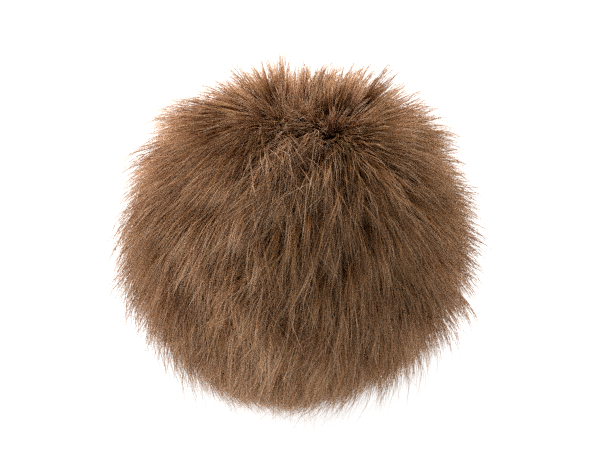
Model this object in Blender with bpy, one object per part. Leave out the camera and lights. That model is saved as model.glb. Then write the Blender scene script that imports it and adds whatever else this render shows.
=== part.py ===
"""Faux-fur pom pom, modelled as the closed outer form of its pile.

The long pile is parted along a short arc near the top of the ball and combed from there
down to the base, in overlapping locks. The ball rests on a small pressed flat. Units are
metres, +Z is up, and the origin is the middle of the ball's footprint, on the surface that
it rests on.
"""

import math

import bmesh
import bpy
import numpy as np

# Driving dimensions
PILE_RADIUS = 0.0575        # from the ball's middle to the pile between two locks
FLAT_RADIUS = 0.0165        # the pressed flat that the ball rests on

# The parting, a short arc across the top of the ball (angles in degrees)
PARTING_TILT = 9.5          # its middle, away from straight up
PARTING_HEADING = -13.0     # the side to which it tilts, turned from +X
PARTING_RUN = -22.0         # the heading along which it runs
PARTING_HALF_ARC = 10.0
PARTING_DEPTH = 0.0050
PARTING_HALF_WIDTH = 0.0085

# The locks, laid in a golden-angle spiral around the parting's middle
LOCK_COUNT = 200
LOCK_LENGTH = 0.0310
LOCK_HALF_WIDTH = 0.0078
LOCK_RISE = 0.0030
LOCK_CREST = 0.72           # the share of its length at which a lock stands highest
LOCK_TAPER = 0.45           # how much narrower it is at its tip
LOCK_SWAY = 14.0            # the most that a lock is turned from the combed way, degrees

# Around the flat the pile is pressed smooth, between these angles from straight down
PRESSED_INNER = 17.0
PRESSED_OUTER = 34.0

# Uneven fullness of the ball. Heading and height are where on the ball a swell lies, turned
# from +X and lifted from the level, and spread is its width, all in degrees.
SWELLS = (
    # name, heading, height, spread, rise (metres)
    ("left cheek", 192.0, -12.0, 24.0, 0.0044),
    ("front right cheek", -20.0, -26.0, 18.0, 0.0012),
    ("back right crest", 40.0, 34.0, 16.0, 0.0012),
    ("back left crest", 150.0, 32.0, 22.0, 0.0040),
    ("back crest", 100.0, 54.0, 9.0, 0.0012),
    ("front hollow", -58.0, -40.0, 16.0, -0.0024),
    ("front brow", -96.0, 30.0, 26.0, 0.0010),
    ("back hollow", 96.0, -18.0, 24.0, -0.0014),
)

ICOSPHERE_LEVELS = 5
GOLDEN_ANGLE = math.pi * (3.0 - math.sqrt(5.0))
FLAT_SNAP = 0.0003          # points this near the flat are laid on it, so that no sliver is cut
FUR_BROWN = (0.178, 0.091, 0.050, 1.0)


def unit_rows(vectors):
    """Scale each row of an array to length 1."""
    return vectors / np.linalg.norm(vectors, axis=-1, keepdims=True)


def smooth_step(low, high, values):
    """Ease from 0 at low to 1 at high."""
    share = np.clip((values - low) / (high - low), 0.0, 1.0)
    return share * share * (3.0 - 2.0 * share)


def direction(heading, height):
    """Unit vector at a heading from +X and a height above the level, in degrees."""
    turn = math.radians(heading)
    lift = math.radians(height)
    level = math.cos(lift)
    return np.array((level * math.cos(turn), level * math.sin(turn), math.sin(lift)))


def parting_frame():
    """Unit vectors to the parting's middle, and along the parting there."""
    middle = direction(PARTING_HEADING, 90.0 - PARTING_TILT)
    run = direction(PARTING_RUN, 0.0)
    along = unit_rows(run - middle * (run @ middle))
    return middle, along


def nearest_on_parting(points):
    """For each unit point, the unit point of the parting that is nearest to it."""
    middle, along = parting_frame()
    half_arc = math.radians(PARTING_HALF_ARC)
    turn = np.arctan2(points @ along, points @ middle)
    turn = np.clip(turn, -half_arc, half_arc)[:, None]
    return middle * np.cos(turn) + along * np.sin(turn)


def combed_way(points):
    """For each unit point, the unit tangent along which its pile lies, root to tip."""
    source = nearest_on_parting(points)
    towards = source - points * np.sum(source * points, axis=1, keepdims=True)
    return -unit_rows(towards)


def lock_roots():
    """Unit points at which the locks are rooted, evenly spread over the ball."""
    middle, along = parting_frame()
    across = np.cross(middle, along)
    number = np.arange(LOCK_COUNT) + 0.5
    rise = 1.0 - 2.0 * number / LOCK_COUNT
    level = np.sqrt(1.0 - rise * rise)
    turn = number * GOLDEN_ANGLE
    return (rise[:, None] * middle
            + (level * np.cos(turn))[:, None] * along
            + (level * np.sin(turn))[:, None] * across)


def lock_relief(points):
    """How far the locks stand above the pile between them, at each unit point."""
    roots = lock_roots()
    ways = combed_way(roots)
    sides = np.cross(roots, ways)
    sway = np.radians(LOCK_SWAY) * np.sin(2.4 * np.arange(LOCK_COUNT))
    ways, sides = (ways * np.cos(sway)[:, None] + sides * np.sin(sway)[:, None],
                   sides * np.cos(sway)[:, None] - ways * np.sin(sway)[:, None])
    relief = np.zeros(len(points))
    for root, way, side in zip(roots, ways, sides):
        offset = (points - root) * PILE_RADIUS
        along = offset @ way / LOCK_LENGTH
        half_width = LOCK_HALF_WIDTH * (1.0 - LOCK_TAPER * along)
        across = np.abs(offset @ side) / half_width
        inside = (along > 0.0) & (along < 1.0) & (across < 1.0) & (points @ root > 0.0)
        rising = smooth_step(0.0, LOCK_CREST, along)
        falling = 1.0 - smooth_step(LOCK_CREST, 1.0, along)
        round_top = np.cos(0.5 * math.pi * np.clip(across, 0.0, 1.0))
        stand = LOCK_RISE * np.minimum(rising, falling) * round_top
        relief = np.where(inside, np.maximum(relief, stand), relief)
    return relief


def swell_relief(points):
    """How far the ball's uneven fullness moves its surface, at each unit point."""
    relief = np.zeros(len(points))
    for _name, heading, height, spread, rise in SWELLS:
        angle = np.arccos(np.clip(points @ direction(heading, height), -1.0, 1.0))
        relief += rise * np.exp(-0.5 * (angle / math.radians(spread)) ** 2)
    return relief


def parting_relief(points):
    """How far the parting sinks below the pile around it, at each unit point."""
    source = nearest_on_parting(points)
    gap = np.linalg.norm(points - source, axis=1) * PILE_RADIUS
    return -PARTING_DEPTH * np.exp(-0.5 * (gap / PARTING_HALF_WIDTH) ** 2)


def pile_reach(points):
    """Distance from the ball's middle to the outside of its pile, towards each unit point."""
    from_bottom = np.degrees(np.arccos(np.clip(-points[:, 2], -1.0, 1.0)))
    loose = smooth_step(PRESSED_INNER, PRESSED_OUTER, from_bottom)
    relief = loose * lock_relief(points) + swell_relief(points) + parting_relief(points)
    return PILE_RADIUS + relief


def press_flat(bm):
    """Cut the ball off level where it rests, and close it with one flat face."""
    floor = -math.sqrt(PILE_RADIUS ** 2 - FLAT_RADIUS ** 2)
    for vert in bm.verts:
        if abs(vert.co.z - floor) < FLAT_SNAP:
            vert.co.z = floor
    geometry = bm.verts[:] + bm.edges[:] + bm.faces[:]
    bmesh.ops.bisect_plane(bm, geom=geometry, dist=1e-6, plane_co=(0.0, 0.0, floor),
                           plane_no=(0.0, 0.0, -1.0), clear_outer=True)
    rim = [edge for edge in bm.edges if edge.is_boundary]
    bmesh.ops.contextual_create(bm, geom=rim)


def stand_on_origin(bm):
    """Move the ball so that its box stands on the origin, centred over it."""
    places = np.array([vert.co for vert in bm.verts])
    low = places.min(axis=0)
    high = places.max(axis=0)
    shift = (-0.5 * (low[0] + high[0]), -0.5 * (low[1] + high[1]), -low[2])
    bmesh.ops.translate(bm, verts=bm.verts, vec=shift)


def fur_material():
    """The brown pile's plain finish."""
    material = bpy.data.materials.new("brown_pile")
    material.use_nodes = True
    shader = material.node_tree.nodes["Principled BSDF"]
    shader.inputs["Base Color"].default_value = FUR_BROWN
    shader.inputs["Roughness"].default_value = 0.85
    shader.inputs["Metallic"].default_value = 0.0
    return material


def build_fur_ball():
    """Model the ball and link it to the scene."""
    bm = bmesh.new()
    bmesh.ops.create_icosphere(bm, subdivisions=ICOSPHERE_LEVELS, radius=1.0)
    points = unit_rows(np.array([vert.co for vert in bm.verts]))
    reach = pile_reach(points)
    for vert, point, distance in zip(bm.verts, points, reach):
        vert.co = point * distance
    press_flat(bm)
    stand_on_origin(bm)
    bmesh.ops.recalc_face_normals(bm, faces=bm.faces)
    mesh = bpy.data.meshes.new("fur_ball")
    bm.to_mesh(mesh)
    bm.free()
    mesh.shade_smooth()
    mesh.materials.append(fur_material())
    ball = bpy.data.objects.new("fur_ball", mesh)
    bpy.context.scene.collection.objects.link(ball)


def main():
    """Clear the scene and build the pom pom."""
    for obj in list(bpy.data.objects):
        bpy.data.objects.remove(obj)
    build_fur_ball()


main()
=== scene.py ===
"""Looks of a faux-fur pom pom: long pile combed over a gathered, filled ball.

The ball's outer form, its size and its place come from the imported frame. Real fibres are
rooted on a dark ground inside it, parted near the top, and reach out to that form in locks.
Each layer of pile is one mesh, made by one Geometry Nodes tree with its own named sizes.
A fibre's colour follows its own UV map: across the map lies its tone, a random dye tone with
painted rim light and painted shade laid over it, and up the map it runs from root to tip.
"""

import logging
import math
from dataclasses import dataclass, field
from enum import Enum, auto
from typing import Dict, List, Optional, Sequence, Tuple, Union

import bmesh
import bpy
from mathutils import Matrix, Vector, noise


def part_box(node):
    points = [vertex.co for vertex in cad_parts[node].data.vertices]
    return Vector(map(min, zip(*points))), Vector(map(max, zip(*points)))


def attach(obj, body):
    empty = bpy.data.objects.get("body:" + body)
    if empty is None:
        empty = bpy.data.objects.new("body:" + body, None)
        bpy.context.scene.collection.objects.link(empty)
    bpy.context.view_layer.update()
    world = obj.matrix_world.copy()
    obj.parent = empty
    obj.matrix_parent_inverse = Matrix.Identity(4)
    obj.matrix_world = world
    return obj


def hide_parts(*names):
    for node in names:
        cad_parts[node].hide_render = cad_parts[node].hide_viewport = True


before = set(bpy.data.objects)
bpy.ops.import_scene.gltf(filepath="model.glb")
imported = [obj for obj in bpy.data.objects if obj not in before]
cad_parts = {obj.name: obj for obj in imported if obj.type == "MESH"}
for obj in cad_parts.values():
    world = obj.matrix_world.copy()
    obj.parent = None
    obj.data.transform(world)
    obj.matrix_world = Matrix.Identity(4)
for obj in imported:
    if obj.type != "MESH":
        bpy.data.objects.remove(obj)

LOG = logging.getLogger("pom_pom")
NODE = "fur_ball"
BODY = "root"
FIBRE_MAP = "OFBake"  # the name of the fibre map, the UV map that a piece's fibres carry
SPOKE = "spoke"
AROUND = "around"
TONES = 64  # how many tones the fibre map holds side by side: dye tones with painted rim light and shade
WHITE = (1.0, 1.0, 1.0, 1.0)

Colour = Tuple[float, float, float]
Way = Tuple[float, float, float]
Span = Tuple[float, float]
Ramp = Tuple[float, float, float, float]
Socket = bpy.types.NodeSocket
Number = Union["Field", float, int]
Triple = Union["Field", Sequence[float]]
Settled = Dict[str, "Field"]


# ---------------- node trees as formulas


@dataclass(frozen=True)
class Field:
    """A value inside a node tree. Arithmetic on it adds the nodes that work it out."""

    sheet: "NodeSheet"
    socket: Socket

    @property
    def is_vector(self) -> bool:
        """Whether the value has three parts."""
        return self.socket.type == "VECTOR"

    def __add__(self, other: Union[Number, Triple]) -> "Field":
        """Sum of two values of one kind."""
        return self.sheet.combine("ADD", self, other)

    def __sub__(self, other: Union[Number, Triple]) -> "Field":
        """Difference of two values of one kind."""
        return self.sheet.combine("SUBTRACT", self, other)

    def __mul__(self, other: Number) -> "Field":
        """This value times a number."""
        if self.is_vector:
            return self.sheet.vector("SCALE", self, scale=other)
        return self.sheet.math("MULTIPLY", self, other)

    def __truediv__(self, other: Number) -> "Field":
        """This number over another."""
        return self.sheet.math("DIVIDE", self, other)

    def __rsub__(self, other: float) -> "Field":
        """A plain number less this one."""
        return self.sheet.math("SUBTRACT", other, self)

    def power(self, exponent: Number) -> "Field":
        """This number raised to an exponent."""
        return self.sheet.math("POWER", self, exponent)

    def dot(self, other: Triple) -> "Field":
        """Scalar product of two vectors."""
        return self.sheet.vector("DOT_PRODUCT", self, other)

    def cross(self, other: Triple) -> "Field":
        """Vector product of two vectors."""
        return self.sheet.vector("CROSS_PRODUCT", self, other)

    def unit(self) -> "Field":
        """This vector at length 1."""
        return self.sheet.vector("NORMALIZE", self)


class NodeSheet:
    """A geometry or material node tree being written, with short calls for its nodes."""

    def __init__(self, tree: bpy.types.NodeTree) -> None:
        """Start on a tree, to which the nodes are added."""
        self.tree = tree

    def add(self, kind: str, given: Optional[Dict[str, object]] = None,
            **settings: object) -> bpy.types.Node:
        """Add one node.

        Args:
            kind: The node's type name.
            given: What its named inputs are given.
            **settings: Properties to set on it first.

        Returns:
            The new node.
        """
        node = self.tree.nodes.new(kind)
        for name, value in settings.items():
            setattr(node, name, value)
        self.fill(node, given or {})
        return node

    def fill(self, node: bpy.types.Node, given: Dict[str, object]) -> None:
        """Give a node's named inputs their values."""
        for name, value in given.items():
            self.feed(node.inputs[name], value)

    def feed(self, socket: Socket, value: object) -> None:
        """Give an input its value: a link from a field or socket, or a plain value."""
        source = value.socket if isinstance(value, Field) else value
        if isinstance(source, Socket):
            self.tree.links.new(source, socket)
        else:
            socket.default_value = source

    def field(self, socket: Socket) -> Field:
        """Wrap an output socket."""
        return Field(self, socket)

    def work(self, node: bpy.types.Node, values: Sequence[object]) -> Field:
        """Give a node's inputs their values in order, and wrap its first output."""
        for socket, value in zip(node.inputs, values):
            self.feed(socket, value)
        return self.field(node.outputs[0])

    def math(self, operation: str, *values: Number) -> Field:
        """The result of a Math node, from its inputs in order."""
        return self.work(self.add("ShaderNodeMath", operation=operation), values)

    def vector(self, operation: str, *values: Triple, scale: Number = 1.0) -> Field:
        """The result of a Vector Math node.

        Args:
            operation: The node's operation.
            *values: Its vector inputs in order.
            scale: The factor of a SCALE.

        Returns:
            A vector, or a number where the operation gives one.
        """
        node = self.add("ShaderNodeVectorMath", operation=operation)
        self.work(node, values)
        if operation == "SCALE":
            self.feed(node.inputs["Scale"], scale)
        scalar = operation in ("DOT_PRODUCT", "LENGTH", "DISTANCE")
        return self.field(node.outputs["Value" if scalar else "Vector"])

    def combine(self, operation: str, left: Field, right: Union[Number, Triple]) -> Field:
        """Add or subtract, as vectors if the left value is one."""
        if left.is_vector:
            return self.vector(operation, left, right)
        return self.math(operation, left, right)

    def triple(self, x: Number, y: Number, z: Number) -> Field:
        """Put three numbers together as a vector."""
        return self.work(self.add("ShaderNodeCombineXYZ"), (x, y, z))

    def parts(self, value: Field) -> Tuple[Field, Field, Field]:
        """Take a vector's three numbers apart."""
        node = self.add("ShaderNodeSeparateXYZ", {"Vector": value})
        return tuple(self.field(socket) for socket in node.outputs)

    def grain(self, scale: float, detail: float, strength: float,
              depth: float) -> Tuple[Socket, Socket]:
        """Roughen a surface with fine noise on the piece's own coordinates.

        Args:
            scale: How fine the noise is.
            detail: How many finer noises are laid over it.
            strength: How strong its bump is.
            depth: The bump's depth.

        Returns:
            The sockets of the noise and of the bumped normal.
        """
        place = self.add("ShaderNodeTexCoord")
        grain = self.add("ShaderNodeTexNoise", {"Vector": place.outputs["Object"],
                                                "Scale": scale, "Detail": detail})
        bump = self.add("ShaderNodeBump", {"Strength": strength, "Distance": depth,
                                           "Height": grain.outputs["Fac"]})
        return grain.outputs["Fac"], bump.outputs["Normal"]

    def ease(self, value: Number, low: Number, high: Number,
             start: Number = 0.0, end: Number = 1.0) -> Field:
        """Change smoothly from one number to another as a value passes a range.

        Args:
            value: The value that is read.
            low: Where the change begins.
            high: Where it is complete.
            start: The result at and below low.
            end: The result at and above high.

        Returns:
            The eased number.
        """
        node = self.add("ShaderNodeMapRange", interpolation_type="SMOOTHSTEP")
        return self.work(node, (value, low, high, start, end))

    def chance(self, low: Number, high: Number, seed: Number, which: object = None) -> Field:
        """A random number for each element, or for each value of an identity.

        Args:
            low: The least it may be.
            high: The most it may be.
            seed: What tells this draw from the others.
            which: The identity whose elements share a number, or None for each alone.

        Returns:
            The random number.
        """
        node = self.add("FunctionNodeRandomValue", data_type="FLOAT")
        self.feed(node.inputs[2], low)
        self.feed(node.inputs[3], high)
        if which is not None:
            self.feed(node.inputs["ID"], which)
        self.feed(node.inputs["Seed"], seed)
        return self.field(node.outputs[1])


# ---------------- places


def put_in_scene(name: str, data: bpy.types.ID) -> bpy.types.Object:
    """Add an object with the given data to the scene."""
    placed = bpy.data.objects.new(name, data)
    bpy.context.scene.collection.objects.link(placed)
    return placed


def tilted(tilt: float, heading: float) -> Vector:
    """Unit vector tilted from straight up to a heading from +X, both in degrees."""
    turn, lean = math.radians(heading), math.radians(tilt)
    level = math.sin(lean)
    return Vector((level * math.cos(turn), level * math.sin(turn), math.cos(lean)))


def view_way(azimuth: float, elevation: float) -> Vector:
    """Unit vector towards a viewer, by degrees round from the front, at -Y, and upwards."""
    return tilted(90.0 - elevation, -90.0 - azimuth)


# ---------------- the ball's form


@dataclass(frozen=True)
class Parting:
    """The short arc near the top of the ball, from which the pile is combed away.

    Angles are in degrees. Headings turn from +X.
    """

    tilt: float = 11.5
    heading: float = 55.0
    run: float = -14.0
    half_arc: float = 11.0

    def middle(self) -> Vector:
        """Unit vector to the arc's middle."""
        return tilted(self.tilt, self.heading)

    def run_way(self) -> Vector:
        """Unit vector along the arc at its middle."""
        level = tilted(90.0, self.run)
        middle = self.middle()
        return (level - middle * level.dot(middle)).normalized()


@dataclass(frozen=True)
class Swell:
    """A place where the pile stands out further than around it, or falls short.

    Its tilt and heading are in degrees. It begins and is full at the cosines of two angles
    from its middle, and there it stands out by a share of the pile's reach.
    """

    name: str
    tilt: float
    heading: float
    edge: float
    core: float
    stand: float

    def way(self) -> Vector:
        """Unit vector from the ball's middle to the swell's."""
        return tilted(self.tilt, self.heading)


@dataclass(frozen=True)
class BallForm:
    """Where the ball is, and the sizes that its parts share. Lengths are in metres."""

    low: Vector
    high: Vector
    middle_share: float = 0.493
    ground_share: float = 0.655
    parting: Parting = field(default_factory=Parting)
    swells: Tuple[Swell, ...] = (
        Swell("Crest", 36.0, 99.0, 0.985, 0.9985, 0.050),
        Swell("Hollow", 37.2, 73.0, 0.985, 0.9985, -0.105),
        Swell("Shoulder", 49.7, 38.0, 0.960, 0.996, 0.070),
    )

    @property
    def middle(self) -> Vector:
        """The point that the pile stands out from."""
        centre = 0.5 * (self.low + self.high)
        return Vector((centre.x, centre.y, self.low.z + self.middle_share * self.height))

    @property
    def height(self) -> float:
        """Height of the ball."""
        return self.high.z - self.low.z

    @property
    def pile_radius(self) -> float:
        """Mean reach of the pile, level with the ball's middle."""
        return 0.25 * ((self.high.x - self.low.x) + (self.high.y - self.low.y))

    @property
    def ground_radius(self) -> float:
        """Radius of the ground that the pile is rooted on."""
        return self.ground_share * self.pile_radius


# ---------------- finishes


def start_finish(name: str) -> Tuple[bpy.types.Material, NodeSheet, bpy.types.Node]:
    """Start a material.

    Args:
        name: The finish's name.

    Returns:
        The material, its node sheet and its shader.
    """
    material = bpy.data.materials.new(name)
    material.use_nodes = True
    shader = material.node_tree.nodes["Principled BSDF"]
    return material, NodeSheet(material.node_tree), shader


@dataclass(frozen=True)
class FibreFinish:
    """Fibre dark at the root, brown along its length and pale at its tip: partly its dye,
    partly painted shade deep in the pile and painted light through the thin tip.
    """

    name: str
    root: Colour
    shade: Colour
    body: Colour
    light: Colour
    tip: Colour
    shade_at: float = 0.31
    body_at: float = 0.525
    light_at: float = 0.72
    tone_low: float = 0.39
    tone_high: float = 1.73
    roughness_low: float = 0.42
    roughness_high: float = 0.66
    hue_low: float = 0.493
    hue_span: float = 0.012
    saturation_low: float = 1.15
    saturation_span: float = 0.18
    saturation_fall: float = 0.34
    gloss: float = 0.02

    def ramp(self, sheet: NodeSheet, along: Field) -> Field:
        """The colour from root to tip: the dye's own change, with painted shade towards the
        root and painted light towards the tip.

        Args:
            sheet: The material's node sheet.
            along: How far along the fibre a point lies, 0 at the root.

        Returns:
            The colour.
        """
        node = sheet.add("ShaderNodeValToRGB", {"Fac": along})
        stops = node.color_ramp.elements
        stops[0].color = (*self.root, 1.0)
        stops[1].color = (*self.tip, 1.0)
        for position, colour in ((self.shade_at, self.shade), (self.body_at, self.body),
                                 (self.light_at, self.light)):
            stops.new(position).color = (*colour, 1.0)
        return sheet.field(node.outputs["Color"])

    def material(self) -> bpy.types.Material:
        """Build the finish.

        The fibre map's columns are the fibres' tones: dye tones with painted rim light and
        painted shade laid over them. A paler tone is greyer.

        Returns:
            The material, which reads only the fibre's own UV map.
        """
        material, sheet, shader = start_finish(self.name)
        uv = sheet.add("ShaderNodeUVMap", uv_map=FIBRE_MAP)
        across, along, _unused = sheet.parts(sheet.field(uv.outputs[0]))
        column = sheet.math("FLOOR", across * TONES)
        tone = column / TONES
        dye = sheet.add("ShaderNodeTexWhiteNoise", {"W": column}, noise_dimensions="1D")
        red, green, blue = sheet.parts(sheet.field(dye.outputs["Color"]))
        vary = sheet.add("ShaderNodeHueSaturation", {
            "Hue": red * self.hue_span + self.hue_low,
            "Saturation": (green * self.saturation_span + self.saturation_low
                           - tone * self.saturation_fall),
            "Value": tone * (self.tone_high - self.tone_low) + self.tone_low,
            "Color": self.ramp(sheet, along),
        })
        span = self.roughness_high - self.roughness_low
        sheet.fill(shader, {"Base Color": vary.outputs["Color"],
                            "Roughness": blue * span + self.roughness_low,
                            "Specular IOR Level": self.gloss})
        return material


@dataclass(frozen=True)
class GroundFinish:
    """The fur's dark ground: short matted underwool on a knitted back."""

    name: str = "dark_ground_wool"
    deep: Colour = (0.010, 0.005, 0.003)
    wool: Colour = (0.040, 0.020, 0.011)
    grain: float = 420.0
    detail: float = 6.0
    deep_at: float = 0.35
    wool_at: float = 0.70
    roughness: Ramp = (0.3, 0.7, 0.80, 0.98)
    bump: float = 0.8
    bump_depth: float = 0.0008

    def material(self) -> bpy.types.Material:
        """Build the finish.

        Returns:
            The material, patterned on the piece's own coordinates.
        """
        material, sheet, shader = start_finish(self.name)
        wool, normal = sheet.grain(self.grain, self.detail, self.bump, self.bump_depth)
        blend = sheet.add("ShaderNodeValToRGB", {"Fac": wool})
        for stop, position, colour in zip(blend.color_ramp.elements,
                                          (self.deep_at, self.wool_at), (self.deep, self.wool)):
            stop.position = position
            stop.color = (*colour, 1.0)
        sheet.fill(shader, {"Base Color": blend.outputs["Color"],
                            "Roughness": sheet.ease(sheet.field(wool), *self.roughness),
                            "Normal": normal})
        return material


@dataclass(frozen=True)
class PaperFinish:
    """Plain white paper under the ball, lit from within so that it is white on every side."""

    name: str = "white_paper"
    colour: Colour = (0.35, 0.35, 0.35)
    glow: float = 0.90
    roughness: float = 0.9
    gloss: float = 0.1
    grain: float = 900.0
    detail: float = 2.0
    bump: float = 0.1
    bump_depth: float = 0.0001

    def material(self) -> bpy.types.Material:
        """Build the finish.

        Returns:
            The material, with the faint tooth of paper.
        """
        material, sheet, shader = start_finish(self.name)
        _tooth, normal = sheet.grain(self.grain, self.detail, self.bump, self.bump_depth)
        sheet.fill(shader, {"Base Color": (*self.colour, 1.0), "Roughness": self.roughness,
                            "Specular IOR Level": self.gloss,
                            "Emission Color": WHITE, "Emission Strength": self.glow,
                            "Normal": normal})
        return material


# ---------------- the fur ground


@dataclass(frozen=True)
class FurGround:
    """The filled ball of gathered fabric that the pile is rooted on."""

    form: BallForm
    name: str = "fur_ground"
    levels: int = 5
    unevenness: float = 0.0008
    grain: float = 90.0
    fill: float = 0.8

    def build(self) -> bpy.types.Object:
        """Model the ground as one closed, slightly uneven ball.

        Returns:
            The ground's object.
        """
        bm = bmesh.new()
        bmesh.ops.create_icosphere(bm, subdivisions=self.levels, radius=1.0)
        for vert in bm.verts:
            way = vert.co.normalized()
            lump = noise.noise(way * self.form.ground_radius * self.grain)
            reach = self.form.ground_radius + self.unevenness * lump
            vert.co = self.form.middle + way * reach
        mesh = bpy.data.meshes.new(self.name)
        bm.to_mesh(mesh)
        bm.free()
        mesh.shade_smooth()
        mesh.materials.append(GroundFinish().material())
        return put_in_scene(self.name, mesh)

    def declare(self, ground: bpy.types.Object) -> None:
        """Attach the ground to the ball's body, and hide the imported ball, whose solid this
        filled piece stands for.
        """
        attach(ground, BODY)
        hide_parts(NODE)


# ---------------- the pile


@dataclass(frozen=True)
class Strand:
    """One fibre as a closed mesh, pointed at both ends, for the pile's tree to place.

    Its points carry their spoke: the way out from the fibre's middle line in X and Y, and
    how far along the fibre they are in Z. Its corners carry how far round it they lie.
    """

    rings: Tuple[float, ...]
    sides: int = 3

    def build(self) -> bpy.types.Object:
        """Model the fibre.

        Returns:
            Its object, which is never linked to the scene.
        """
        last = 1 + self.sides * len(self.rings)
        points = [(0.0, 0.0, 0.0)]
        for place in self.rings:
            for side in range(self.sides):
                turn = 2.0 * math.pi * side / self.sides
                points.append((math.cos(turn), math.sin(turn), place))
        points.append((0.0, 0.0, 1.0))
        faces: List[Tuple[int, ...]] = []
        across: List[float] = []
        for side in range(self.sides):
            near, far = side, (side + 1) % self.sides
            left, right = side / self.sides, (side + 1) / self.sides
            faces.append((0, 1 + far, 1 + near))
            across.extend((0.5 * (left + right), right, left))
            for ring in range(len(self.rings) - 1):
                base = 1 + ring * self.sides
                faces.append((base + near, base + far,
                              base + self.sides + far, base + self.sides + near))
                across.extend((left, right, right, left))
            base = last - self.sides
            faces.append((base + near, base + far, last))
            across.extend((left, right, 0.5 * (left + right)))
        mesh = bpy.data.meshes.new("strand")
        mesh.from_pydata(points, [], faces)
        mesh.shade_smooth()
        spoke = mesh.attributes.new(SPOKE, "FLOAT_VECTOR", "POINT")
        spoke.data.foreach_set("vector", [part for point in points for part in point])
        around = mesh.attributes.new(AROUND, "FLOAT", "CORNER")
        around.data.foreach_set("value", across)
        return bpy.data.objects.new("strand", mesh)


class PileInput(Enum):
    """Named inputs of the pile's tree."""

    GROUND = auto()
    STRAND = auto()
    OUTER_FORM = auto()
    FINISH = auto()
    MIDDLE = auto()
    PARTING_MIDDLE = auto()
    PARTING_RUN = auto()
    PARTING_HALF_ARC = auto()
    SEED = auto()
    DENSITY = auto()
    THICKNESS = auto()
    LOCK_SPACING = auto()
    TUFT_SPACING = auto()
    LOCK_PULL = auto()
    TUFT_PULL = auto()
    REACH_LOW = auto()
    REACH_HIGH = auto()
    LOCK_UNEVENNESS = auto()
    LEAN = auto()
    SWAY = auto()
    STRAY = auto()
    BEND = auto()
    MESS = auto()
    CROWN_DENSITY = auto()
    FOOT_DENSITY = auto()

    @property
    def title(self) -> str:
        """The input's name."""
        return self.name.replace("_", " ").title()

    @property
    def kind(self) -> str:
        """The input's socket type."""
        return "NodeSocket" + INPUT_KINDS.get(self.name, "Float")


INPUT_KINDS = {
    "GROUND": "Geometry", "STRAND": "Object", "OUTER_FORM": "Object", "FINISH": "Material",
    "MIDDLE": "Vector", "PARTING_MIDDLE": "Vector", "PARTING_RUN": "Vector", "SEED": "Int",
}


class Draw(Enum):
    """The tree's random draws, each with its seed and its least and greatest result.

    A fibre's seeds are added to its layer's seed. Those of a lock and a tuft stand alone, so
    that the fibres of every layer follow the same locks and tufts.
    """

    FIBRE_LEAN = (1, 0.90, 1.10)
    FIBRE_STRAY = (2, -1.0, 1.0)
    FIBRE_BEND = (3, -0.10, 0.10)
    FIBRE_GATHER = (4, 0.68, 1.0)
    FIBRE_LIE = (5, 0.0003, 0.0016)
    FIBRE_REACH = (6, 0.0, 1.0)
    FIBRE_THICKNESS = (7, 0.7, 1.3)
    FIBRE_TONE = (8, 0.0, 0.24)
    FIBRE_MESS_X = (9, -1.0, 1.0)
    FIBRE_MESS_Y = (10, -1.0, 1.0)
    FIBRE_MESS_Z = (11, -1.0, 1.0)
    LOCK_LEAN = (31, 0.85, 1.15)
    LOCK_SWAY = (37, -0.8, 0.8)
    LOCK_BEND = (43, -1.0, 1.0)
    LOCK_PULL = (47, 0.75, 1.1)
    LOCK_REACH = (53, -1.0, 1.0)
    LOCK_TONE = (59, 0.0, 0.56)
    TUFT_SWAY = (41, -1.1, 1.1)
    TUFT_TONE = (61, 0.0, 0.20)
    TUFT_LEAN = (67, 0.90, 1.10)
    TUFT_REACH = (71, -0.7, 0.7)


@dataclass(frozen=True)
class Combing:
    """How the pile's lie, reach and tone change over the ball, with painted light and shade in
    the tone.

    A Ramp holds a lower and an upper limit and the results at them. Distances from the parting
    are in radians. East is to the right and north to the back, both from -1 to 1. The palest
    tone stays just inside the fibre map's last column.
    """

    lock_seed: int = 11
    tuft_seed: int = 23
    guide_density: float = 1.0e6
    gather_along: Ramp = (0.0, 0.78, 0.0, 1.0)
    droop: float = 1.8
    stray_power: float = 7.0
    lean_by_gap: Ramp = (0.0, 0.42, 0.19, 1.0)
    lean_by_east: Ramp = (0.25, 1.0, 1.0, 0.52)
    bend_by_gap: Ramp = (0.1, 0.6, 0.35, 1.0)
    gather_by_gap: Ramp = (0.2, 0.8, 0.45, 1.0)
    gather_by_east: Ramp = (-0.8, -0.1, 0.6, 1.0)
    gather_by_north: Ramp = (0.1, 0.5, 1.0, 0.75)
    mess_by_gap: Ramp = (0.2, 1.0, 6.0, 1.0)
    mess_by_north: Ramp = (-0.2, 0.2, 1.0, 0.4)
    unevenness_by_north: Ramp = (0.1, 0.5, 1.0, 0.6)
    foot_reach: float = 1.02
    foot_evenness_by_gap: Ramp = (1.7, 2.3, 0.0, 0.70)
    least_fall: float = 0.1
    table_slack: float = 1.04
    crown_gaps: Span = (0.0, 0.9)
    foot_gaps: Span = (1.3, 2.8)
    behind: Way = (-0.35, 0.81, -0.59)
    front_right: Way = (0.45, -0.586, 0.674)
    # painted rim light: fibres at the edge that the front camera sees are made paler, towards
    # this tone
    rim_light_tone: float = 0.95
    rim_light_at_edge: Ramp = (-0.75, 0.10, 0.0, 0.38)
    rim_light_fade_behind: Ramp = (0.15, 0.75, 1.0, 0.0)
    # darker towards the back, away from the front camera
    deep_behind: Ramp = (0.35, 0.80, 1.0, 0.38)
    # painted shade: fibres at the front right are made darker
    painted_shade_front_right: Ramp = (0.70, 0.97, 1.0, 0.64)
    taper: Ramp = (0.40, 1.0, 1.0, 0.35)
    tone_columns: float = TONES - 0.01
    step: float = 0.03
    map_margin: float = 0.08


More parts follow.
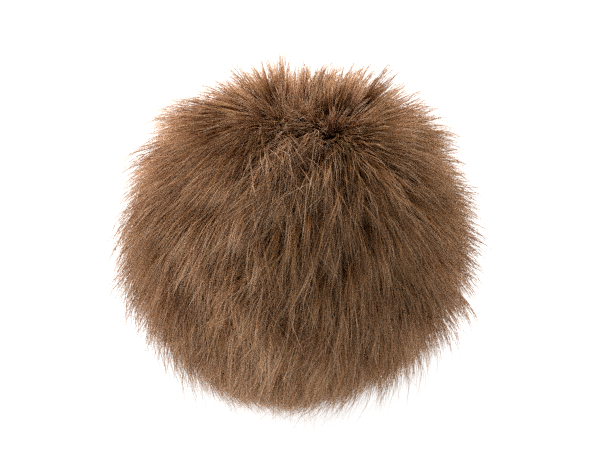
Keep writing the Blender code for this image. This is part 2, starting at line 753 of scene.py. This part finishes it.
@dataclass(frozen=True)
class Spot:
    """Where a fibre is rooted, with its lock and tuft there."""

    sheet: NodeSheet
    seed: Field
    root: Field
    gap: Field
    east: Field
    north: Field
    lock: Field
    tuft: Field

    def draw(self, draw: Draw) -> Field:
        """Make a random draw for each fibre, lock or tuft, whichever it is named for."""
        seed, low, high = draw.value
        if draw.name.startswith("FIBRE"):
            return self.sheet.chance(low, high, self.seed + seed)
        owner = self.lock if draw.name.startswith("LOCK") else self.tuft
        return self.sheet.chance(low, high, seed, owner)


class PileTree:
    """The Geometry Nodes tree that stands combed fibres on a ground."""

    comb: Combing = Combing()

    def __init__(self, swells: Sequence[Swell]) -> None:
        """Write the tree.

        Args:
            swells: Where the pile stands out further or falls short, an input for each.
        """
        self.swells = swells
        self.tree = bpy.data.node_groups.new("Combed Pile", "GeometryNodeTree")
        self.sheet = NodeSheet(self.tree)
        sockets = self.tree.interface
        for item in PileInput:
            sockets.new_socket(item.title, in_out="INPUT", socket_type=item.kind)
        for swell in swells:
            sockets.new_socket(swell.name, in_out="INPUT", socket_type="NodeSocketVector")
        sockets.new_socket("Pile", in_out="OUTPUT", socket_type="NodeSocketGeometry")
        self.inputs = self.sheet.add("NodeGroupInput")
        self.write()

    def given(self, item: PileInput) -> Field:
        """One of the tree's inputs, as a field."""
        return self.sheet.field(self.inputs.outputs[item.title])

    def shape_of(self, item: PileInput) -> Socket:
        """The mesh of an object that is one of the tree's inputs."""
        node = self.sheet.add("GeometryNodeObjectInfo", {"Object": self.given(item)},
                              transform_space="ORIGINAL")
        return node.outputs["Geometry"]

    def position(self) -> Field:
        """The place of a point or corner."""
        return self.sheet.field(self.sheet.add("GeometryNodeInputPosition").outputs[0])

    def identifiers(self) -> Dict[str, str]:
        """Each input's socket identifier by its name. A modifier's value is set by it."""
        return {item.name: item.identifier for item in self.tree.interface.items_tree
                if item.in_out == "INPUT"}

    def guides(self, spacing: PileInput, seed: int) -> Socket:
        """Points evenly spread on the ground at a least spacing, one for each lock or tuft."""
        node = self.sheet.add("GeometryNodeDistributePointsOnFaces", {
            "Mesh": self.given(PileInput.GROUND), "Distance Min": self.given(spacing),
            "Density Max": self.comb.guide_density, "Seed": seed,
        }, distribute_method="POISSON")
        return node.outputs["Points"]

    def nearest(self, points: Socket, place: Field) -> Tuple[Field, Field]:
        """The guide point nearest to a place.

        Args:
            points: The guide points' geometry.
            place: The place that looks for its guide.

        Returns:
            The guide's index and its position.
        """
        sheet = self.sheet
        near = sheet.add("GeometryNodeSampleNearest",
                         {"Geometry": points, "Sample Position": place}, domain="POINT")
        read = sheet.add("GeometryNodeSampleIndex", {
            "Geometry": points, "Value": self.position(), "Index": near.outputs["Index"],
        }, data_type="FLOAT_VECTOR", domain="POINT")
        return sheet.field(near.outputs["Index"]), sheet.field(read.outputs["Value"])

    def combed(self, way: Field) -> Tuple[Field, Field]:
        """The way that the pile is combed at a place on the ball.

        Args:
            way: Unit vector from the ball's middle to the place.

        Returns:
            The combed way, a unit tangent, and the distance from the parting in radians.
        """
        sheet = self.sheet
        middle = self.given(PileInput.PARTING_MIDDLE)
        run = self.given(PileInput.PARTING_RUN)
        half_arc = self.given(PileInput.PARTING_HALF_ARC)
        turn = sheet.math("ARCTAN2", way.dot(run), way.dot(middle))
        turn = sheet.math("MINIMUM", sheet.math("MAXIMUM", turn, 0.0 - half_arc), half_arc)
        source = middle * sheet.math("COSINE", turn) + run * sheet.math("SINE", turn)
        away = (way * source.dot(way) - source).unit()
        gap = sheet.math("ARCCOSINE", sheet.math("MINIMUM", source.dot(way), 1.0))
        return away, gap

    def heading(self, along: Number, strand: Settled) -> Field:
        """Where a fibre has got to, as a unit vector from the ball's middle.

        Args:
            along: How far along the fibre, 0 at its root and 1 at its tip.
            strand: What is settled for each fibre.

        Returns:
            The unit vector.
        """
        sheet = self.sheet
        gather = sheet.ease(along, *self.comb.gather_along)
        to_lock = (strand["lock"] - strand["root"]) * (strand["lock_pull"] * gather)
        to_tuft = (strand["tuft"] - strand["root"]) * (strand["tuft_pull"] * gather)
        base = (strand["root"] + to_lock + to_tuft).unit()
        away, _gap = self.combed(base)
        side = base.cross(away)
        way = (away * sheet.math("COSINE", strand["sway"])
               + side * sheet.math("SINE", strand["sway"]))
        swing = strand["lean"] * sheet.math("POWER", along, self.comb.droop)
        squared = sheet.math("MULTIPLY", along, along)
        path = (base * sheet.math("COSINE", swing) + way * sheet.math("SINE", swing)
                + side * (strand["bend"] * squared) + strand["mess"] * squared)
        return path.unit()

    def place(self, along: Number, strand: Settled) -> Field:
        """A point on a fibre's middle line.

        Args:
            along: How far along the fibre, 0 at its root and 1 at its tip.
            strand: What is settled for each fibre.

        Returns:
            The point, kept above the surface that the ball rests on.
        """
        sheet = self.sheet
        reach = strand["start"] + (strand["reach"] - strand["start"]) * along
        free = self.given(PileInput.MIDDLE) + self.heading(along, strand) * reach
        x, y, z = sheet.parts(free)
        return sheet.triple(x, y, sheet.math("MAXIMUM", z, strand["lie"]))

    def settle(self, roots: Socket) -> Tuple[Socket, Settled]:
        """Settle each fibre's place, lock, lean, reach and tone at its root.

        Args:
            roots: The root points' geometry.

        Returns:
            The points with what was settled, and the settled fields.
        """
        sheet, comb = self.sheet, self.comb
        position, middle = self.position(), self.given(PileInput.MIDDLE)
        lock_points = self.guides(PileInput.LOCK_SPACING, comb.lock_seed)
        tuft_points = self.guides(PileInput.TUFT_SPACING, comb.tuft_seed)
        lock_index, lock_place = self.nearest(lock_points, position)
        tuft_index, tuft_place = self.nearest(tuft_points, lock_place)
        root = (position - middle).unit()
        _away, gap = self.combed(root)
        east, north, _rise = sheet.parts(root)
        spot = Spot(sheet, self.given(PileInput.SEED), root, gap, east, north,
                    lock_index, tuft_index)
        strand = {
            "root": root,
            "lock": (lock_place - middle).unit(),
            "tuft": (tuft_place - middle).unit(),
            "start": sheet.vector("LENGTH", position - middle),
            "lie": spot.draw(Draw.FIBRE_LIE),
            **self.settle_lie(spot),
        }
        strand["reach"] = self.settle_reach(spot, strand)
        strand["thickness"] = (self.given(PileInput.THICKNESS)
                               * spot.draw(Draw.FIBRE_THICKNESS))
        strand["tone"] = self.settle_tone(spot)
        return self.capture(roots, strand)

    def settle_lie(self, spot: Spot) -> Settled:
        """Settle how far a fibre leans, sways, bends and is drawn to its lock and tuft.

        Args:
            spot: Where the fibre is rooted.

        Returns:
            The fields that shape its path.
        """
        sheet, comb = self.sheet, self.comb
        gather = (spot.draw(Draw.FIBRE_GATHER) * sheet.ease(spot.gap, *comb.gather_by_gap)
                  * sheet.ease(spot.east, *comb.gather_by_east)
                  * sheet.ease(spot.north, *comb.gather_by_north))
        mess = sheet.triple(*(spot.draw(draw) for draw in (
            Draw.FIBRE_MESS_X, Draw.FIBRE_MESS_Y, Draw.FIBRE_MESS_Z)))
        return {
            "lean": (self.given(PileInput.LEAN) * sheet.ease(spot.gap, *comb.lean_by_gap)
                     * sheet.ease(spot.east, *comb.lean_by_east) * spot.draw(Draw.LOCK_LEAN)
                     * spot.draw(Draw.TUFT_LEAN) * spot.draw(Draw.FIBRE_LEAN)),
            "sway": (self.given(PileInput.SWAY)
                     * (spot.draw(Draw.LOCK_SWAY) + spot.draw(Draw.TUFT_SWAY))
                     + self.given(PileInput.STRAY)
                     * spot.draw(Draw.FIBRE_STRAY).power(comb.stray_power)),
            "bend": (self.given(PileInput.BEND) * sheet.ease(spot.gap, *comb.bend_by_gap)
                     * (spot.draw(Draw.LOCK_BEND) + spot.draw(Draw.FIBRE_BEND))),
            "lock_pull": (self.given(PileInput.LOCK_PULL) * gather
                          * spot.draw(Draw.LOCK_PULL)),
            "tuft_pull": self.given(PileInput.TUFT_PULL) * gather,
            "mess": mess * (self.given(PileInput.MESS)
                            * sheet.ease(spot.gap, *comb.mess_by_gap)
                            * sheet.ease(spot.north, *comb.mess_by_north)),
        }

    def settle_reach(self, spot: Spot, strand: Settled) -> Field:
        """Settle how far from the ball's middle a fibre ends.

        Args:
            spot: Where the fibre is rooted.
            strand: What shapes the fibre's path.

        Returns:
            The reach: a share of the way to the outer form, or less where it meets the table.
        """
        sheet, comb = self.sheet, self.comb
        middle = self.given(PileInput.MIDDLE)
        tip_way = self.heading(1.0, strand)
        ray = sheet.add("GeometryNodeRaycast", {
            "Target Geometry": self.shape_of(PileInput.OUTER_FORM),
            "Source Position": middle, "Ray Direction": tip_way, "Ray Length": 1.0,
        }, data_type="FLOAT")
        low, high = self.given(PileInput.REACH_LOW), self.given(PileInput.REACH_HIGH)
        uneven = (self.given(PileInput.LOCK_UNEVENNESS)
                  * sheet.ease(spot.north, *comb.unevenness_by_north))
        share = ((high - low) * spot.draw(Draw.FIBRE_REACH) + low
                 + uneven * (spot.draw(Draw.LOCK_REACH) + spot.draw(Draw.TUFT_REACH)))
        share = share + (comb.foot_reach - share) * sheet.ease(
            spot.gap, *comb.foot_evenness_by_gap)
        for swell in self.swells:
            nearness = tip_way.dot(sheet.field(self.inputs.outputs[swell.name]))
            share = share * (sheet.ease(nearness, swell.edge, swell.core, 0.0, swell.stand)
                             + 1.0)
        _x, _y, tip_rise = sheet.parts(tip_way)
        _x, _y, height = sheet.parts(middle)
        fall = sheet.math("MAXIMUM", 0.0 - tip_rise, comb.least_fall)
        to_table = (height - strand["lie"]) / fall
        free = sheet.field(ray.outputs["Hit Distance"]) * share
        return sheet.math("MINIMUM", free, to_table * comb.table_slack)

    def settle_tone(self, spot: Spot) -> Field:
        """Settle a fibre's tone: a random dye tone, with painted rim light and painted shade
        laid over it.

        Args:
            spot: Where the fibre is rooted.

        Returns:
            The column of the fibre map that holds its tone.
        """
        sheet, comb = self.sheet, self.comb
        tone = (spot.draw(Draw.FIBRE_TONE) + spot.draw(Draw.LOCK_TONE)
                + spot.draw(Draw.TUFT_TONE))
        # painted rim light: a paler tone at the edge that the front camera sees
        behind = spot.root.dot(comb.behind)
        painted_rim_light = sheet.ease(behind, *comb.rim_light_at_edge) * sheet.ease(behind, *comb.rim_light_fade_behind)
        tone = tone + (comb.rim_light_tone - tone) * painted_rim_light
        # painted shade at the front right; the tone is darker towards the back as well
        tone = (tone * sheet.ease(spot.root.dot(comb.front_right), *comb.painted_shade_front_right)
                * sheet.ease(behind, *comb.deep_behind))
        return sheet.math("FLOOR", tone * comb.tone_columns)

    def capture(self, points: Socket, strand: Settled) -> Tuple[Socket, Settled]:
        """Keep the settled fields with the points, for the fibres made from them.

        Args:
            points: The root points' geometry.
            strand: The settled fields.

        Returns:
            The points that hold them, and the fields as held.
        """
        keep = self.sheet.add("GeometryNodeCaptureAttribute", domain="POINT")
        self.sheet.feed(keep.inputs["Geometry"], points)
        held = {}
        for name, value in strand.items():
            keep.capture_items.new("VECTOR" if value.is_vector else "FLOAT", name)
            self.sheet.feed(keep.inputs[name], value)
            held[name] = self.sheet.field(keep.outputs[name])
        return keep.outputs["Geometry"], held

    def read(self, name: str, kind: str) -> Field:
        """An attribute that the strand's mesh carries."""
        node = self.sheet.add("GeometryNodeInputNamedAttribute", {"Name": name},
                              data_type=kind)
        return self.sheet.field(node.outputs["Attribute"])

    def shape(self, fibres: Socket, strand: Settled) -> Socket:
        """Bend the placed strands to their paths.

        Args:
            fibres: The realised strands, still straight.
            strand: What is settled for each fibre.

        Returns:
            The shaped fibres.
        """
        sheet = self.sheet
        spoke_x, spoke_y, along = sheet.parts(self.read(SPOKE, "FLOAT_VECTOR"))
        here = self.place(along, strand)
        ahead = self.place(along + self.comb.step, strand)
        tangent = (ahead - here).unit()
        out = (here - self.given(PileInput.MIDDLE)).unit()
        across = tangent.cross(out).unit()
        over = across.cross(tangent)
        radius = strand["thickness"] * 0.5 * sheet.ease(along, *self.comb.taper)
        place = here + (across * spoke_x + over * spoke_y) * radius
        move = sheet.add("GeometryNodeSetPosition", {"Geometry": fibres, "Position": place})
        return move.outputs["Geometry"]

    def unwrap(self, fibres: Socket, strand: Settled) -> Socket:
        """Lay each fibre in its tone's column of the fibre map, root to tip.

        Args:
            fibres: The shaped fibres.
            strand: What is settled for each fibre.

        Returns:
            The fibres with their map, and without what the strand's mesh carried.
        """
        sheet, margin = self.sheet, self.comb.map_margin
        _x, _y, along = sheet.parts(self.read(SPOKE, "FLOAT_VECTOR"))
        inset = self.read(AROUND, "FLOAT") * (1.0 - 2.0 * margin) + margin
        place = sheet.triple((strand["tone"] + inset) / TONES, along, 0.0)
        store = sheet.add("GeometryNodeStoreNamedAttribute",
                          {"Geometry": fibres, "Name": FIBRE_MAP, "Value": place},
                          data_type="FLOAT2", domain="CORNER")
        bare = store.outputs["Geometry"]
        for name in (SPOKE, AROUND):
            drop = sheet.add("GeometryNodeRemoveAttribute", {"Geometry": bare, "Name": name})
            bare = drop.outputs["Geometry"]
        return bare

    def density(self) -> Field:
        """Roots for each square metre: more at the crown, from which the pile is combed away,
        and fewer at the foot, where it comes together."""
        sheet, comb = self.sheet, self.comb
        _away, gap = self.combed((self.position() - self.given(PileInput.MIDDLE)).unit())
        crown, foot = self.given(PileInput.CROWN_DENSITY), self.given(PileInput.FOOT_DENSITY)
        return (self.given(PileInput.DENSITY) * sheet.ease(gap, *comb.crown_gaps, crown, 1.0)
                * sheet.ease(gap, *comb.foot_gaps, 1.0, foot))

    def write(self) -> None:
        """Write the whole tree, from roots to dressed fibres."""
        sheet = self.sheet
        scatter = sheet.add("GeometryNodeDistributePointsOnFaces", {
            "Mesh": self.given(PileInput.GROUND), "Density": self.density(),
            "Seed": self.given(PileInput.SEED),
        })
        points, strand = self.settle(scatter.outputs["Points"])
        put = sheet.add("GeometryNodeInstanceOnPoints",
                        {"Points": points, "Instance": self.shape_of(PileInput.STRAND)})
        real = sheet.add("GeometryNodeRealizeInstances", {"Geometry": put.outputs["Instances"]})
        pile = self.unwrap(self.shape(real.outputs["Geometry"], strand), strand)
        dress = sheet.add("GeometryNodeSetMaterial",
                          {"Geometry": pile, "Material": self.given(PileInput.FINISH)})
        sheet.add("NodeGroupOutput", {"Pile": dress.outputs["Geometry"]})


@dataclass(frozen=True)
class PileLayer:
    """A share of the pile whose fibres are alike. Lengths are in metres, angles in radians."""

    name: str
    fibres: int
    seed: int
    finish: FibreFinish
    reach_low: float
    reach_high: float
    strand: Strand = Strand((0.46, 0.80))
    thickness: float = 0.00030
    lock_spacing: float = 0.0017
    tuft_spacing: float = 0.0046
    lock_pull: float = 1.0
    tuft_pull: float = 0.35
    lock_unevenness: float = 0.065
    lean: float = 0.48
    sway: float = 0.25
    stray: float = 0.80
    bend: float = 0.11
    mess: float = 0.007
    crown_density: float = 4.0
    foot_density: float = 0.9

    def build(self, form: BallForm, ground: bpy.types.Object,
              tree: PileTree) -> bpy.types.Object:
        """Stand the layer's fibres on the ground and make them one plain mesh.

        The tree's other inputs are the layer's sizes of the same names.

        Args:
            form: The ball's form.
            ground: The fur ground that they are rooted on.
            tree: The tree that makes them.

        Returns:
            The layer's object.
        """
        area = sum(face.area for face in ground.data.polygons)
        strand = self.strand.build()
        values = {
            PileInput.STRAND: strand,
            PileInput.OUTER_FORM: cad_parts[NODE],
            PileInput.FINISH: self.finish.material(),
            PileInput.MIDDLE: form.middle,
            PileInput.PARTING_MIDDLE: form.parting.middle(),
            PileInput.PARTING_RUN: form.parting.run_way(),
            PileInput.PARTING_HALF_ARC: math.radians(form.parting.half_arc),
            PileInput.DENSITY: self.fibres / area,
        }
        for item in PileInput:
            if item not in values and item is not PileInput.GROUND:
                values[item] = getattr(self, item.name.lower())
        carrier = put_in_scene(self.name + "_carrier", ground.data)
        modifier = carrier.modifiers.new("pile", "NODES")
        modifier.node_group = tree.tree
        names = tree.identifiers()
        for item, value in values.items():
            modifier[names[item.title]] = value
        for swell in form.swells:
            modifier[names[swell.name]] = swell.way()
        evaluated = carrier.evaluated_get(bpy.context.evaluated_depsgraph_get())
        mesh = bpy.data.meshes.new_from_object(evaluated)
        mesh.name = self.name
        bpy.data.objects.remove(carrier)
        bpy.data.objects.remove(strand)
        return put_in_scene(self.name, mesh)

    def declare(self, pile: bpy.types.Object) -> None:
        """Attach the layer to the body that it rides on."""
        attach(pile, BODY)


# ---------------- floor and light


@dataclass(frozen=True)
class SoftBox:
    """A soft lamp that faces the ball. Angles are in degrees, lengths in metres."""

    name: str
    azimuth: float
    elevation: float
    distance: float
    size: float
    power: float

    def build(self, target: Vector) -> None:
        """Hang the lamp so that it faces a point.

        Args:
            target: The point.
        """
        way = view_way(self.azimuth, self.elevation)
        data = bpy.data.lights.new(self.name, "AREA")
        data.shape = "DISK"
        data.size = self.size
        data.energy = self.power
        lamp = put_in_scene(self.name, data)
        lamp.location = target + way * self.distance
        lamp.rotation_euler = way.to_track_quat("Z", "Y").to_euler()


@dataclass(frozen=True)
class Studio:
    """White paper, soft light all round and a camera at the front, looking down.

    Headings and the elevation are in degrees, and the paper's size and the camera's distance
    and shift in metres.
    """

    form: BallForm
    elevation: float = 36.0
    lens: float = 100.0
    distance: float = 0.575
    right: float = 0.0010
    above: float = 0.0051
    paper_size: float = 6.0
    front_wall: float = 1.0
    back_wall: float = 1.35
    bright_heading: float = 135.0
    high_heading: float = 165.0
    high_dim: float = 0.05
    high_bright: float = 0.50
    wall_turn: Span = (-0.3, 0.5)
    high_turn: Span = (-0.4, 0.8)
    wall_top: Span = (0.15, 0.50)
    lamps: Tuple[SoftBox, ...] = (
        SoftBox("left_softbox", 92.0, 15.0, 1.0, 0.8, 15.0),
        SoftBox("right_softbox", -118.0, 8.0, 1.0, 1.0, 12.0),
        SoftBox("top_softbox", 174.0, 60.0, 1.0, 0.8, 16.0),
    )

    def build(self) -> None:
        """Lay the paper, light the ball and set the camera."""
        self.lay_paper()
        self.light()
        self.set_camera()

    def lay_paper(self) -> None:
        """Lay a sheet of paper on which the ball stands."""
        half = 0.5 * self.paper_size
        mesh = bpy.data.meshes.new("paper")
        corners = [(-half, -half, 0.0), (half, -half, 0.0), (half, half, 0.0),
                   (-half, half, 0.0)]
        mesh.from_pydata(corners, [], [(0, 1, 2, 3)])
        mesh.materials.append(PaperFinish().material())
        put_in_scene("paper", mesh)

    def light(self) -> None:
        """Light the ball from all round, and from the lamps."""
        world = bpy.data.worlds.new("studio")
        world.use_nodes = True
        sheet = NodeSheet(world.node_tree)
        way = sheet.field(sheet.add("ShaderNodeTexCoord").outputs["Generated"])
        _east, _north, up = sheet.parts(way)
        walls = sheet.ease(way.dot(tilted(90.0, self.bright_heading)), *self.wall_turn,
                           self.front_wall, self.back_wall)
        high = sheet.ease(way.dot(tilted(90.0, self.high_heading)), *self.high_turn,
                          self.high_dim, self.high_bright)
        background = world.node_tree.nodes["Background"]
        background.inputs["Color"].default_value = WHITE
        sheet.feed(background.inputs["Strength"],
                   sheet.ease(up, *self.wall_top, walls, high))
        bpy.context.scene.world = world
        for lamp in self.lamps:
            lamp.build(self.form.middle)

    def set_camera(self) -> None:
        """Set the camera at the front, looking down at the ball."""
        way = view_way(0.0, self.elevation)
        up = tilted(self.elevation, 90.0)
        target = self.form.middle + Vector((self.right, 0.0, 0.0)) + up * self.above
        data = bpy.data.cameras.new("front_camera")
        data.lens = self.lens
        camera = put_in_scene("front_camera", data)
        camera.location = target + way * self.distance
        camera.rotation_euler = way.to_track_quat("Z", "Y").to_euler()
        bpy.context.scene.camera = camera
        bpy.context.scene.view_settings.view_transform = "Standard"
        bpy.context.scene.cycles.use_denoising = False


# ---------------- the ball


@dataclass(frozen=True)
class PomPom:
    """The whole pom pom: its ground and the layers of its pile."""

    form: BallForm
    ground: FurGround
    layers: Tuple[PileLayer, ...]

    def build(self) -> None:
        """Build every piece, report it and attach it to the body."""
        ground = self.ground.build()
        self.ground.declare(ground)
        report(ground)
        tree = PileTree(self.form.swells)
        for layer in self.layers:
            pile = layer.build(self.form, ground, tree)
            layer.declare(pile)
            report(pile)


def report(piece: bpy.types.Object) -> None:
    """Log a piece's name and size."""
    mesh = piece.data
    mesh.calc_loop_triangles()
    LOG.info("%s: %d triangles", piece.name, len(mesh.loop_triangles))


def layers() -> Tuple[PileLayer, ...]:
    """The pile's layers, from the shortest fibres to the longest."""
    # The dark root and shade stops are partly painted shade deep in the pile, the light and tip
    # stops partly painted light through the thin tips.
    brown = FibreFinish(
        name="brown_fibre",
        root=(0.009, 0.0020, 0.0003),
        shade=(0.027, 0.0068, 0.0012),
        body=(0.106, 0.0360, 0.0116),
        light=(0.268, 0.134, 0.065),
        tip=(0.470, 0.285, 0.168),
    )
    # Pale guard hairs: partly real pale fibres, partly a painted highlight for the glints over
    # the dark pile.
    pale = FibreFinish(
        name="pale_fibre",
        root=(0.020, 0.008, 0.003),
        shade=(0.070, 0.030, 0.011),
        body=(0.230, 0.110, 0.044),
        light=(0.335, 0.197, 0.107),
        tip=(0.600, 0.435, 0.305),
        gloss=0.15,
    )
    fine = Strand((0.62,))
    return (
        PileLayer("inner_pile", 13500, 101, brown, 0.77, 0.91, strand=fine, thickness=0.00024),
        PileLayer("combed_pile_1", 20000, 211, brown, 0.80, 0.95, strand=fine,
                  thickness=0.00024),
        PileLayer("combed_pile_2", 20000, 223, brown, 0.83, 0.99, strand=fine,
                  thickness=0.00028),
        PileLayer("combed_pile_3", 20000, 227, brown, 0.85, 1.05, strand=fine,
                  thickness=0.00031),
        PileLayer("combed_pile_4", 11500, 229, brown, 0.87, 1.12, thickness=0.00031),
        PileLayer("guard_hairs", 13000, 233, pale, 0.88, 1.14, thickness=0.00021,
                  lock_pull=0.4, mess=0.009, crown_density=2.5),
    )


def main() -> None:
    """Build the pom pom and its studio."""
    logging.basicConfig(level=logging.INFO, format="%(name)s %(message)s")
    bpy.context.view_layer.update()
    low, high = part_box(NODE)
    form = BallForm(low, high)
    PomPom(form, FurGround(form), layers()).build()
    Studio(form).build()


if __name__ == "__main__":
    main()
